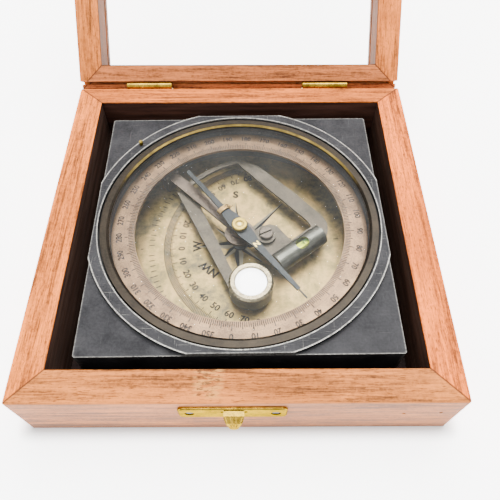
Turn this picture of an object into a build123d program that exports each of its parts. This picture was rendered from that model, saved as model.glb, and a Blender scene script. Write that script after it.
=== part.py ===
from build123d import *
import os
from math import atan2, cos, degrees, hypot, radians, sin, sqrt

os.makedirs("parts", exist_ok=True)

# ---- wooden case, mm; origin in the middle of its underside, +X right, +Y to the hinges, +Z up
HALF_X, HALF_Y = 68.5, 68.2
RIM_Z = 26.2
IN_X, IN_FRONT, IN_BACK = 58.3, -57.85, 59.3
FLOOR_T = 2.5
CORNER_R = 0.8
BRADS = [(51.2, 15.0), (62.4, 16.0)]

# ---- lid, drawn closed and then turned to its rest angle
HINGE_Y, HINGE_Z = 69.55, 26.4
LID_OPEN = 134.0
LID_Z0, LID_Z1 = 26.4, 41.4
LID_X0, LID_X1, LID_BACK, LEAF_FACE = -68.9, 68.1, 70.8, 69.75
LID_IN_X0, LID_IN_X1, LID_IN_FRONT, LID_IN_BACK = -59.1, 58.1, -58.3, 61.0
LID_REBATE_Y, LID_REBATE_Z, LID_GROOVE_Y, LID_GROOVE_Z = 67.65, 29.4, 68.75, 32.2
PANE_Z0, PANE_Z1, PANE_GRIP = 36.4, 38.4, 2.2

# ---- butt hinges and latch
HINGE_XS = (-39.0, 36.6)
HINGE_W, BARREL_R, HINGE_PIN_R, LEAF_T = 19.0, 1.35, 0.5, 0.65
MID_KNUCKLE = 8.6
LATCH_X, LATCH_W, LATCH_Z0, LATCH_Z1, LATCH_T = -1.4, 32.8, 15.6, 23.3, 1.0
LATCH_NAIL, LATCH_Z = 13.0, 19.3
HOOK_X, HOOK_W = -1.0, 6.1
HASP_Y, HASP_Z, HASP_R = -69.7, 28.6, 1.2

# ---- compass; all heights are heights above the underside of the case
CX, CY = 0.2, 0.75
SIDE, SIDE_TURN = 105.3, 0.5
BASE_Z, PLATE_Z, COLLAR_Z = 2.5, 22.0, 24.0
COLLAR_R, COLLAR_BORE = 55.3, 51.35
SEAT_Z, SEAT_R, SEAT_TOP = 21.0, 50.85, 22.2
WELL_R, LEDGE_Z, LEDGE_R, WELL_Z = 47.8, 17.1, 47.0, 5.2
POCKET_Z, POCKET_R = 4.0, 26.0
DIAL_Z = 6.0
RING_IN, RING_OUT, RING_Z = 39.2, 47.6, 18.3
GLASS_R, GLASS_Z0, GLASS_Z1 = 49.45, 21.2, 22.6
BEZEL_R, BEZEL_IN, BEZEL_Z = 50.8, 47.4, 23.5

# ---- needle
NEEDLE_DIR = -52.3
BLADE_Z0, BLADE_Z1 = 17.6, 18.4
TIP_Z = 18.85
CAP_R, CAP_Z, CAP_SHANK = 2.95, 19.9, 2.3
BLADE = [(-34.4, 0.45), (-33.9, 0.72), (-20, 0.95), (-12, 1.15), (-9, 1.7), (-7, 2.2), (-4, 2.7),
         (0, 2.9), (3, 2.85), (6, 2.45), (9, 1.75), (12, 1.35), (16, 1.15), (33.9, 0.72)]

# ---- needle lifter
LIFT_DIR, LIFT_OFF = 135.2, -0.75
LEVER_Z0, LEVER_Z1 = 13.0, 14.0
HUB_R, LEVER_W, LEVER_END = 5.7, 4.45, 39.3
FULCRUM_S, FULCRUM_Z, TAIL_W, TAIL_END = 41.5, 12.7, 3.2, 55.2
PIN_S, PIN_W, PIN_R, PIN_TOP, PIN_FOOT = 53.9, 2.1, 0.8, 25.8, 14.05
CAVITY_Z0, CAVITY_Z1 = 11.4, 14.6
SPRING_Z, SPRING_R, SPRING_WIRE = 8.4, 1.1, 0.18

# ---- clinometer, pivoted off the centre; u runs along its index, w across it
PX, PY = 10.0, -0.6
INDEX_DIR = 128.0
FRAME_Z0, FRAME_Z1 = 11.0, 12.0
ARC_IN, ARC_OUT = 39.3, 41.2
TUBE_U, TUBE_W0, TUBE_W1, TUBE_R, TUBE_Z, TUBE_BORE = -12.6, -5.1, 16.5, 3.9, 13.0, 2.9
WINDOW_U, WINDOW_W = -12.8, 6.9
CUP_U, CUP_W, CUP_R, CUP_BORE, CUP_Z0, CUP_Z1 = -13.8, -18.2, 8.0, 6.9, 9.2, 15.4
BULL_TOP, BULL_EYE = 16.6, 5.7
SHAFT_R, BUSH_R = 1.5, 2.4


def box(x0, x1, y0, y1, z0, z1):
    return Pos((x0 + x1) / 2, (y0 + y1) / 2, (z0 + z1) / 2) * Box(x1 - x0, y1 - y0, z1 - z0)


def disc(r, z0, z1, x=0, y=0):
    return Pos(x, y, (z0 + z1) / 2) * Cylinder(r, z1 - z0)


def prism(points, z0, z1):
    face = make_face(Polyline(*[(x, y, z0) for x, y in points], close=True))
    return extrude(face, amount=z1 - z0, dir=(0, 0, 1))


def side_prism(points, x0, x1):
    face = make_face(Polyline(*[(x0, y, z) for y, z in points], close=True))
    return extrude(face, amount=x1 - x0, dir=(1, 0, 0))


def turned(profile):
    face = make_face(Polyline(*[(r, 0, z) for r, z in profile], close=True))
    return revolve(face, axis=Axis.Z)


def rod_x(r, x0, x1, y, z):
    return Pos((x0 + x1) / 2, y, z) * Rot(0, 90, 0) * Cylinder(r, x1 - x0)


def rod_y(r, y0, y1, x, z):
    return Pos(x, (y0 + y1) / 2, z) * Rot(90, 0, 0) * Cylinder(r, y1 - y0)


def save(name, *solids):
    shape = solids[0] if len(solids) == 1 else Compound(children=list(solids))
    export_step(shape, f"parts/{name}.step")


def opened(shape):
    """Turns a piece drawn on the closed lid to the lid's rest angle."""
    return (Pos(0, HINGE_Y, HINGE_Z) * Rot(-LID_OPEN, 0, 0) * Pos(0, -HINGE_Y, -HINGE_Z)) * shape


def centred(shape):
    return Pos(CX, CY, 0) * shape


def on_needle(shape):
    return Pos(CX, CY, 0) * Rot(0, 0, NEEDLE_DIR) * shape


def on_lifter(shape):
    return Pos(CX, CY, 0) * Rot(0, 0, LIFT_DIR) * shape


def on_index(shape):
    return Pos(CX + PX, CY + PY, 0) * Rot(0, 0, INDEX_DIR) * shape


# ------------------------------------------------------------------ case
def rounded_block(x0, x1, y0, y1, z0, z1):
    block = box(x0, x1, y0, y1, z0, z1)
    block = fillet(block.edges().filter_by(Axis.Z), CORNER_R)
    return chamfer(block.faces().sort_by(Axis.Z)[-1].edges(), 0.45)


def four_sides(x0, x1, y0, y1, ix0, ix1, iy0, iy1):
    return {
        "front": [(x0, y0), (x1, y0), (ix1, iy0), (ix0, iy0)],
        "right": [(x1, y0), (x1, y1), (ix1, iy1), (ix1, iy0)],
        "back": [(x1, y1), (x0, y1), (ix0, iy1), (ix1, iy1)],
        "left": [(x0, y1), (x0, y0), (ix0, iy0), (ix0, iy1)],
    }


def case_walls():
    outer = rounded_block(-HALF_X, HALF_X, -HALF_Y, HALF_Y, 0, RIM_Z)
    plans = four_sides(-HALF_X, HALF_X, -HALF_Y, HALF_Y, -IN_X, IN_X, IN_FRONT, IN_BACK)
    walls = {side: prism(plan, 0, RIM_Z) & outer for side, plan in plans.items()}
    for dx in (-LATCH_NAIL, LATCH_NAIL):
        walls["front"] -= rod_y(0.6, -HALF_Y - 1, -HALF_Y + 7.0, LATCH_X + dx, LATCH_Z)
    for x, z in BRADS:
        walls["front"] -= rod_y(0.6, -HALF_Y - 1, -HALF_Y + 5.0, x, z)
    for hx in HINGE_XS:
        for dx in (-6, 6):
            walls["back"] -= rod_y(0.5, HALF_Y - 6.5, HALF_Y + 1, hx + dx, 20.4)
    for side, wall in walls.items():
        save("case_" + side, wall)
    save("case_floor", box(-IN_X, IN_X, IN_FRONT, IN_BACK, 0, FLOOR_T))
    save("case_brads", *[rod_y(0.6, -HALF_Y + 0.25, -HALF_Y + 5.0, x, z) for x, z in BRADS])


def latch():
    x0, x1 = LATCH_X - LATCH_W / 2, LATCH_X + LATCH_W / 2
    back, front = -HALF_Y, -HALF_Y - LATCH_T
    plate = box(x0, x1, front, back, LATCH_Z0, LATCH_Z1)
    plate = fillet(plate.edges().filter_by(Axis.Y), 1.6)
    plate = chamfer(plate.faces().sort_by(Axis.Y)[0].edges(), 0.35)
    for dx in (-LATCH_NAIL, LATCH_NAIL):
        plate -= rod_y(1.5, front - 1, back + 1, LATCH_X + dx, LATCH_Z)
    for side in (-1, 1):
        plate -= rod_y(0.55, front - 1, back + 1, HOOK_X + side * (HOOK_W / 2 + 0.45), 21.0)
    profile = [(front + 0.4, 22.3), (front - 1.6, 22.1), (front - 3.2, 20.3), (front - 4.1, 17.8),
               (front - 4.0, 16.3), (front - 3.3, 15.6), (front - 2.8, 16.1), (front - 2.7, 17.7),
               (front - 2.0, 19.3), (front - 1.0, 20.4), (front + 0.4, 20.7)]
    hook = side_prism(profile, HOOK_X - HOOK_W / 2, HOOK_X + HOOK_W / 2)
    half = [(3.05, 23.5), (3.05, 21.7), (2.8, 21.0), (2.4, 20.2), (1.85, 19.1), (1.3, 18.0), (0.8, 16.9),
            (0.4, 16.3)]
    outline = half + [(0, 16.1)] + [(-x, z) for x, z in reversed(half)]
    mask = make_face(Polyline(*[(HOOK_X + x, -80, z) for x, z in outline], close=True))
    hook &= extrude(mask, amount=20, dir=(0, 1, 0))
    for dx in (-2.2, -0.75, 0.75, 2.2):
        bend = (HOOK_X + dx * 0.80, front - 3.05, 20.2)
        hook += cone_rod((HOOK_X + dx * 1.05, front - 1.55, 21.9), bend, 0.4)
        hook += cone_rod(bend, (HOOK_X + dx * 0.38, front - 3.75, 18.4), 0.4)
        hook += Pos(*bend) * Sphere(0.4)
    save("latch_plate", plate + hook)
    save("latch_nails", *[
        rod_y(1.4, back - 0.7, back - 0.05, LATCH_X + dx, LATCH_Z)
        + rod_y(0.6, back - 0.1, back + 7.0, LATCH_X + dx, LATCH_Z) for dx in (-LATCH_NAIL, LATCH_NAIL)])


def cone_rod(p, q, r):
    p, q = Vector(*p), Vector(*q)
    d = q - p
    return Plane(origin=p, z_dir=d) * (Pos(0, 0, d.length / 2) * Cylinder(r, d.length))


# ------------------------------------------------------------------ lid
def lid_rails():
    outer = rounded_block(LID_X0, LID_X1, -HALF_Y, LID_BACK, LID_Z0, LID_Z1)
    plans = four_sides(LID_X0, LID_X1, -HALF_Y, LID_BACK, LID_IN_X0, LID_IN_X1, LID_IN_FRONT, LID_IN_BACK)
    pane = box(LID_IN_X0 - PANE_GRIP, LID_IN_X1 + PANE_GRIP, LID_IN_FRONT - PANE_GRIP,
               LID_IN_BACK + PANE_GRIP, PANE_Z0, PANE_Z1)
    rebate = box(-80, 80, LID_REBATE_Y, 80, LID_Z0 - 1, LID_REBATE_Z)
    rebate += box(-80, 80, LID_REBATE_Y, LID_GROOVE_Y, LID_Z0, LID_GROOVE_Z)
    for hx in HINGE_XS:
        rebate += box(hx - HINGE_W / 2 - 0.1, hx + HINGE_W / 2 + 0.1, LEAF_FACE, 80, LID_Z0, 38.1)
    rails = {s: (prism(plan, LID_Z0, LID_Z1) & outer) - pane - rebate for s, plan in plans.items()}
    for dx in (-8, 8):
        rails["front"] -= rod_y(0.6, -HALF_Y - 1, -HALF_Y + 6, LATCH_X + dx, 33.5)
    for hx in HINGE_XS:
        for dx in (-6, 6):
            rails["back"] -= rod_y(0.5, LEAF_FACE - 6.5, LEAF_FACE + 1, hx + dx, 34.0)
    for side, rail in rails.items():
        save("lid_" + side, opened(rail))
    save("lid_glass", opened(pane))


def hinge_parts():
    pins, case_nails, lid_nails = [], [], []
    for tag, hx in zip(("left", "right"), HINGE_XS):
        half, mid = HINGE_W / 2, MID_KNUCKLE / 2
        bore = rod_x(HINGE_PIN_R, hx - 20, hx + 20, HINGE_Y, HINGE_Z)
        clear = rod_x(HINGE_PIN_R + 0.05, hx - 20, hx + 20, HINGE_Y, HINGE_Z)
        case_leaf = box(hx - half, hx + half, HALF_Y, HALF_Y + LEAF_T, 16.0, 24.9)
        for a, b in ((hx - half, hx - mid - 0.1), (hx + mid + 0.1, hx + half)):
            case_leaf += rod_x(BARREL_R, a, b, HINGE_Y, HINGE_Z)
            case_leaf += box(a, b, HALF_Y, HALF_Y + LEAF_T, 24.0, HINGE_Z)
        case_leaf -= bore
        lid_leaf = box(hx - half, hx + half, LEAF_FACE, LEAF_FACE + LEAF_T, 28.1, 38.0)
        lid_leaf += rod_x(BARREL_R, hx - mid, hx + mid, HINGE_Y, HINGE_Z)
        lid_leaf += box(hx - mid, hx + mid, LEAF_FACE, LEAF_FACE + LEAF_T, HINGE_Z, 29.0)
        lid_leaf -= clear
        for dx in (-6, 6):
            case_leaf -= rod_y(0.5, 60, 80, hx + dx, 20.4)
            lid_leaf -= rod_y(0.5, 60, 80, hx + dx, 34.0)
            case_nails.append(nail_y(HALF_Y + LEAF_T, HALF_Y - 6.5, hx + dx, 20.4))
            lid_nails.append(opened(nail_y(LEAF_FACE + LEAF_T, LEAF_FACE - 6.5, hx + dx, 34.0)))
        save("hinge_case_leaf_" + tag, case_leaf)
        save("hinge_lid_leaf_" + tag, opened(lid_leaf))
        pins.append(rod_x(HINGE_PIN_R, hx - half - 0.1, hx + half + 0.1, HINGE_Y, HINGE_Z))
    save("hinge_pins", *pins)
    save("hinge_nails_case", *case_nails)
    save("hinge_nails_lid", *lid_nails)


def nail_y(face, end, x, z):
    return rod_y(1.05, face, face + 0.4, x, z) + rod_y(0.5, end, face + 0.1, x, z)


def hasp():
    face = -HALF_Y
    plate = box(LATCH_X - 12, LATCH_X + 12, face - 0.9, face, 30.0, 37.5)
    plate = fillet(plate.edges().filter_by(Axis.Y), 1.4)
    for a, b in ((-9.0, -4.9), (4.9, 9.0)):
        plate += rod_x(HASP_R, LATCH_X + a, LATCH_X + b, HASP_Y, HASP_Z)
        plate += box(LATCH_X + a, LATCH_X + b, face - 0.9, face, HASP_Z, 31)
    plate -= rod_x(0.5, -40, 40, HASP_Y, HASP_Z)
    nails = []
    for dx in (-8, 8):
        plate -= rod_y(0.6, -80, -60, LATCH_X + dx, 33.5)
        nails.append(rod_y(1.2, face - 1.3, face - 0.9, LATCH_X + dx, 33.5)
                     + rod_y(0.6, face - 1.0, face + 6, LATCH_X + dx, 33.5))
    save("hasp_plate", opened(plate))
    save("hasp_nails", *[opened(n) for n in nails])
    save("hasp_pin", opened(rod_x(0.5, LATCH_X - 9.2, LATCH_X + 9.2, HASP_Y, HASP_Z)))
    loop = box(LATCH_X - 6.6, LATCH_X + 6.6, HASP_Y - 0.6, HASP_Y + 0.2, 12.6, 26.6)
    loop = fillet(loop.edges().filter_by(Axis.Y).sort_by(Axis.Z)[:2], 4.0)
    loop -= box(HOOK_X - 3.7, HOOK_X + 3.7, -80, -60, 14.9, 22.6)
    loop += box(LATCH_X - 4.7, LATCH_X + 4.7, HASP_Y - 0.6, HASP_Y + 0.2, 26.0, HASP_Z)
    loop += rod_x(HASP_R, LATCH_X - 4.7, LATCH_X + 4.7, HASP_Y, HASP_Z)
    loop -= rod_x(0.55, -40, 40, HASP_Y, HASP_Z)
    save("hasp_loop", opened(loop))


# ------------------------------------------------------------------ compass
def square(z0, z1):
    face = RectangleRounded(SIDE, SIDE, 0.8)
    return Rot(0, 0, SIDE_TURN) * (Pos(0, 0, z0) * extrude(face, amount=z1 - z0))


def lifter_box(s0, s1, half, z0, z1):
    return Rot(0, 0, LIFT_DIR) * box(s0, s1, LIFT_OFF - half, LIFT_OFF + half, z0, z1)


def pin_place(shape):
    return Rot(0, 0, LIFT_DIR) * (Pos(PIN_S, PIN_W, 0) * shape)


def compass_body():
    body = square(BASE_Z, PLATE_Z) + (square(PLATE_Z, COLLAR_Z) & disc(COLLAR_R, PLATE_Z, COLLAR_Z))
    body -= disc(COLLAR_BORE, SEAT_TOP, COLLAR_Z + 1)
    body -= disc(SEAT_R, SEAT_Z, SEAT_TOP + 0.5)
    body -= disc(WELL_R, LEDGE_Z, SEAT_Z + 0.5)
    body -= disc(LEDGE_R, WELL_Z, LEDGE_Z + 0.5)
    body -= disc(POCKET_R, BASE_Z - 1, POCKET_Z, PX, PY)
    body -= disc(BUSH_R, POCKET_Z - 0.5, WELL_Z + 0.5, PX, PY)
    body -= disc(1.0, 4.4, WELL_Z + 0.5)
    body -= lifter_box(45.0, 56.6, 2.0, CAVITY_Z0, CAVITY_Z1)
    body -= Rot(0, 0, LIFT_DIR) * box(50.6, 56.6, 0, PIN_W + 2.1, CAVITY_Z0, CAVITY_Z1)
    body -= pin_place(disc(PIN_R + 0.05, CAVITY_Z0, COLLAR_Z + 1))
    body -= pin_place(disc(1.5, SPRING_Z, CAVITY_Z0 + 0.5))
    for x, y in ((41.5, 41.5), (41.5, -41.5), (-41.5, -41.5)):
        body -= disc(7.5, BASE_Z - 1, 19.0, x, y)
    save("compass_body", centred(body))


def bezel_and_glass():
    bezel = turned([(BEZEL_R, SEAT_Z), (BEZEL_R, BEZEL_Z - 0.2), (BEZEL_R - 0.2, BEZEL_Z), (48.3, BEZEL_Z),
                    (BEZEL_IN, 22.9), (BEZEL_IN, GLASS_Z1), (GLASS_R + 0.05, GLASS_Z1),
                    (GLASS_R + 0.05, SEAT_Z)])
    save("bezel_ring", centred(bezel))
    save("cover_glass", centred(disc(GLASS_R, GLASS_Z0, GLASS_Z1)))
    save("glass_gasket", centred(disc(GLASS_R, SEAT_Z, GLASS_Z0) - disc(WELL_R + 0.1, SEAT_Z - 1, GLASS_Z1)))


def dial_parts():
    ring = disc(RING_OUT, LEDGE_Z, RING_Z) - disc(RING_IN, LEDGE_Z - 1, RING_Z + 1)
    save("graduated_ring", centred(ring))
    plate = disc(LEDGE_R - 0.1, WELL_Z, DIAL_Z) - disc(BUSH_R, 0, 10, PX, PY) - disc(1.0, 0, 10)
    save("dial_plate", centred(plate))
    post = turned([(0, 4.4), (1.0, 4.4), (1.0, DIAL_Z), (3.0, DIAL_Z), (3.0, 6.8), (1.9, 7.4), (1.5, 7.6),
                   (1.5, 16.3), (1.15, 16.4), (0.05, TIP_Z), (0, TIP_Z)])
    save("needle_pivot", centred(post))


def needle_parts():
    top = [(s, w) for s, w in BLADE]
    blade = prism(top + [(s, -w) for s, w in reversed(top)], BLADE_Z0, BLADE_Z1)
    blade += box(33.5, 38.3, -0.22, 0.22, 17.75, 18.2)
    blade -= disc(CAP_SHANK, 0, 30)
    save("needle", on_needle(blade))
    cap = disc(CAP_R, BLADE_Z1, CAP_Z)
    cap = chamfer(cap.faces().sort_by(Axis.Z)[-1].edges(), 0.3)
    cap += disc(CAP_SHANK, 15.35, BLADE_Z1)
    cap -= disc(1.9, 15, 18.3) + disc(1.0, 18.2, 19.3) + disc(1.2, CAP_Z - 0.3, CAP_Z + 1)
    save("needle_cap", centred(cap))
    jewel = turned([(0, 18.95), (0.6, 18.3), (1.0, 18.3), (1.0, 19.3), (0, 19.3)])
    save("needle_jewel", centred(jewel))
    coil = None
    for s in (-10.7, -10.05, -9.4):
        path = Plane(origin=(s, 0, 18.0), x_dir=(0, 1, 0), z_dir=(1, 0, 0)) * Ellipse(2.35, 0.98).edge()
        loop = sweep(Plane(origin=path @ 0, z_dir=path % 0) * Circle(0.34), path=path)
        coil = loop if coil is None else coil + loop
    coil += cone_rod((-10.9, 2.2, 18.3), (-9.0, 3.3, 18.5), 0.3)
    save("needle_counterweight", on_needle(coil))


def lifter_parts():
    lever = Rot(0, 0, -LIFT_DIR) * disc(HUB_R, LEVER_Z0, LEVER_Z1)
    lever += box(3, LEVER_END, LIFT_OFF - LEVER_W / 2, LIFT_OFF + LEVER_W / 2, LEVER_Z0, LEVER_Z1)
    half = TAIL_W / 2
    lever += box(LEVER_END - 1, TAIL_END, LIFT_OFF - half, LIFT_OFF + half, LEVER_Z0, LEVER_Z1)
    lever += box(51.6, TAIL_END, 0, PIN_W + 1.6, LEVER_Z0, LEVER_Z1)
    lever += box(FULCRUM_S - 1.3, FULCRUM_S + 1.3, LIFT_OFF - half, LIFT_OFF + half, 11.8, LEVER_Z1)
    lever -= rod_y(0.55, -10, 10, FULCRUM_S, FULCRUM_Z)
    lever -= disc(1.8, 0, 30)
    save("lifter_lever", on_lifter(lever))
    bracket = box(FULCRUM_S - 1.7, FULCRUM_S + 1.7, LIFT_OFF - 3.1, LIFT_OFF + 3.1, DIAL_Z, 7.0)
    for a, b in ((-3.1, -1.7), (1.7, 3.1)):
        cheek = box(FULCRUM_S - 1.7, FULCRUM_S + 1.7, LIFT_OFF + a, LIFT_OFF + b, 6.5, 14.2)
        bracket += fillet(cheek.edges().filter_by(Axis.Y).sort_by(Axis.Z)[-2:], 1.2)
    bracket -= rod_y(0.5, -10, 10, FULCRUM_S, FULCRUM_Z)
    save("lifter_bracket", on_lifter(bracket))
    save("lifter_fulcrum_pin", on_lifter(rod_y(0.5, LIFT_OFF - 3.2, LIFT_OFF + 3.2, FULCRUM_S, FULCRUM_Z)))
    save("lifter_ring", centred(disc(3.1, 14.1, 15.2) - disc(1.6, 0, 30)))
    pin = disc(1.6, PIN_FOOT, CAVITY_Z1) + disc(PIN_R, PIN_FOOT, PIN_TOP)
    pin = chamfer(pin.faces().sort_by(Axis.Z)[-1].edges(), 0.35)
    save("lift_pin", centred(pin_place(pin)))
    path = Helix(pitch=0.84, height=13.0 - SPRING_Z - 2 * SPRING_WIRE, radius=SPRING_R)
    wire = sweep(Plane(origin=path @ 0, z_dir=path % 0) * Circle(SPRING_WIRE), path=path)
    save("lift_spring", centred(pin_place(Pos(0, 0, SPRING_Z + SPRING_WIRE) * wire)))


def uw(u, w):
    return (u, -w)


def clinometer_frame():
    a0, a1 = radians(-21.3), radians(21.5)
    wedge = [uw(0, 0), uw(60 * cos(a0), 60 * sin(a0)), uw(60 * cos(a1), 60 * sin(a1))]
    frame = (disc(ARC_OUT, FRAME_Z0, FRAME_Z1) - disc(ARC_IN, 0, 30)) & prism(wedge, FRAME_Z0, FRAME_Z1)
    right = [(38.6, 14.3), (38.4, 15.1), (30.5, 20.05), (10.1, 22.6), (-3.1, 23.4), (-7.4, 23.5),
             (-10.0, 22.7), (-12.5, 20.7), (-15.0, 17.6), (-12.6, 16.7), (-7.4, 16.7), (-6.2, 17.2),
             (-3.4, 17.5), (35.1, 14.35)]
    left = [(38.9, -14.6), (-9.2, -24.6), (-9.2, -20.6), (1.3, -18.1), (38.6, -8.3)]
    foot = [(-12.6, 16.7), (-7.2, 16.7), (-7.2, 6.5), (1.3, 6.5), (3.6, 5.0), (5.0, 1.6), (4.9, -2.2),
            (2.8, -4.9), (-2.0, -6.3), (-12.6, -6.3)]
    for points in (right, left, foot):
        frame += prism([uw(u, w) for u, w in points], FRAME_Z0, FRAME_Z1)
    frame -= tube_solid(TUBE_R, TUBE_W0, TUBE_W1)
    frame -= box(-17, TUBE_U, -TUBE_W1 + 0.05, 8, FRAME_Z0 - 1, FRAME_Z1 + 1)
    frame -= disc(CUP_R, 0, 30, *uw(CUP_U, CUP_W))
    frame -= disc(SHAFT_R, 0, 30)
    save("clinometer_frame", on_index(frame))


def tube_solid(r, w0, w1, u=TUBE_U, z=TUBE_Z):
    return rod_y(r, -w1, -w0, u, z)


def level_parts():
    tube = tube_solid(TUBE_R, TUBE_W0, TUBE_W1) - tube_solid(TUBE_BORE, TUBE_W0 - 1, TUBE_W1 + 1)
    slot = box(WINDOW_U - 2.1, WINDOW_U + 2.1, -WINDOW_W - 0.7, -WINDOW_W + 0.7, TUBE_Z, 20)
    for dw in (-0.7, 0.7):
        slot += disc(2.1, TUBE_Z, 20, WINDOW_U, -WINDOW_W + dw)
    save("level_tube", on_index(tube - slot))
    plugs = [tube_solid(TUBE_BORE, w, w + 0.9) for w in (TUBE_W0, TUBE_W1 - 0.9)]
    save("level_end_plugs", *[on_index(p) for p in plugs])
    w0, w1 = TUBE_W0 + 0.9, TUBE_W1 - 0.9
    vial = tube_solid(TUBE_BORE, w0, w1) - tube_solid(2.2, w0 - 1, w1 + 1)
    save("level_vial", on_index(vial))
    bubble = tube_solid(0.9, WINDOW_W - 1.6, WINDOW_W + 1.6, TUBE_U, TUBE_Z + 1.6)
    save("level_fluid", on_index(tube_solid(2.2, w0, w1) - bubble))
    cup = disc(CUP_R, CUP_Z0, CUP_Z1) - disc(CUP_BORE, CUP_Z0 + 1.0, 30)
    save("round_level_cup", on_index(Pos(*uw(CUP_U, CUP_W), 0) * cup))
    rim = turned([(CUP_R, CUP_Z1), (CUP_R, 15.9), (CUP_R - 0.7, BULL_TOP), (BULL_EYE + 0.3, BULL_TOP),
                  (BULL_EYE, BULL_TOP - 0.3), (BULL_EYE, CUP_Z1)])
    save("round_level_rim", on_index(Pos(*uw(CUP_U, CUP_W), 0) * rim))
    glass = disc(CUP_BORE, 14.2, CUP_Z1) + turned(
        [(0, CUP_Z1 - 0.3), (BULL_EYE, CUP_Z1 - 0.3), (BULL_EYE, 15.9), (4.0, 16.25), (2.0, 16.4),
         (0, 16.45)])
    save("round_level_glass", on_index(Pos(*uw(CUP_U, CUP_W), 0) * glass))
    fluid = disc(CUP_BORE, CUP_Z0 + 1.0, 14.2) - disc(2.2, 13.6, 14.3, 0.6, 0.4)
    save("round_level_fluid", on_index(Pos(*uw(CUP_U, CUP_W), 0) * fluid))


def clinometer_pivot():
    save("pivot_boss", on_index(disc(3.85, FRAME_Z1, 13.6) - disc(0.95, 0, 30)))
    screw = disc(2.7, 13.6, 14.9)
    screw = chamfer(screw.faces().sort_by(Axis.Z)[-1].edges(), 0.3) + disc(0.8, 9.0, 13.7)
    screw -= Rot(0, 0, 27 - INDEX_DIR) * box(-3, 3, -0.4, 0.4, 14.3, 16)
    save("pivot_screw", on_index(screw))
    shaft = disc(SHAFT_R, 2.95, 7.5) + disc(2.6, 7.05, FRAME_Z0) + disc(SHAFT_R, FRAME_Z0 - 0.5, FRAME_Z1)
    save("clinometer_shaft", on_index(shaft - disc(0.8, 8.8, 30)))
    bush = disc(BUSH_R, POCKET_Z, DIAL_Z) + disc(3.3, DIAL_Z, 7.0)
    save("clinometer_bush", on_index(bush - disc(SHAFT_R + 0.05, 0, 30)))
    lever = disc(4.2, 3.0, 3.9) + box(-23.0, 0, -2.6, 2.6, 3.0, 3.9)
    lever = lever + disc(2.6, 3.0, 3.9, -23.0, 0) + disc(2.0, 2.65, 3.2, -22.6, 0)
    save("setting_lever", on_index(lever - disc(SHAFT_R, 0, 30)))


case_walls()
latch()
lid_rails()
hinge_parts()
hasp()
compass_body()
bezel_and_glass()
dial_parts()
needle_parts()
lifter_parts()
clinometer_frame()
level_parts()
clinometer_pivot()
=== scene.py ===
from math import cos, pi, radians, sin, sqrt

import bmesh
import bpy
from mathutils import Matrix, Vector


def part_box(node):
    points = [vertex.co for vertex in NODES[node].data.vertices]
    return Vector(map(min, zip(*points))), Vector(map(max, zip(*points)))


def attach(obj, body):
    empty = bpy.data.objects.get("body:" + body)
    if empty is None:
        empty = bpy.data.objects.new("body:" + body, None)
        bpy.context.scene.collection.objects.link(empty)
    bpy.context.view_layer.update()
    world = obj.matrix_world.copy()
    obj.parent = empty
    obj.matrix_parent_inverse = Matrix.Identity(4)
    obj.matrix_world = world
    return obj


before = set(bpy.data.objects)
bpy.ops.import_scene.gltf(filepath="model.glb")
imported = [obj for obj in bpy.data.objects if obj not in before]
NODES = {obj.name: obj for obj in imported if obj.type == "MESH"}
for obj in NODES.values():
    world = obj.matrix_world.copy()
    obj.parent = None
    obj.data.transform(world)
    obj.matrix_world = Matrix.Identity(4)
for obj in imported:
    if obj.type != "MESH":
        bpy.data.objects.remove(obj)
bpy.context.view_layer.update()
MM = 0.001

# ---- places in the row frame, in metres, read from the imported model
ring_lo, ring_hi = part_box("graduated_ring")
CENTRE = Vector(((ring_lo.x + ring_hi.x) / 2, (ring_lo.y + ring_hi.y) / 2, 0))
RING_TOP = ring_hi.z
DIAL_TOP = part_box("dial_plate")[1].z
LID_ANGLE = radians(134)
NEEDLE_ANGLE = radians(-52.3)
RING_ZERO = radians(-90 - 3.2)
HINGE = Vector((0, 69.55, 26.4))  # the lid hinge's axis, in millimetres
CASE_HALF = (68.5, 68.2)  # half the case's width and depth, in millimetres
MARK_LIFT = 0.002 * MM  # how far engraving stands off the surface under it
LENS_OVER_WIDTH = 524.2 / 500  # focal length over the picture's width
SENSOR = 36


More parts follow.
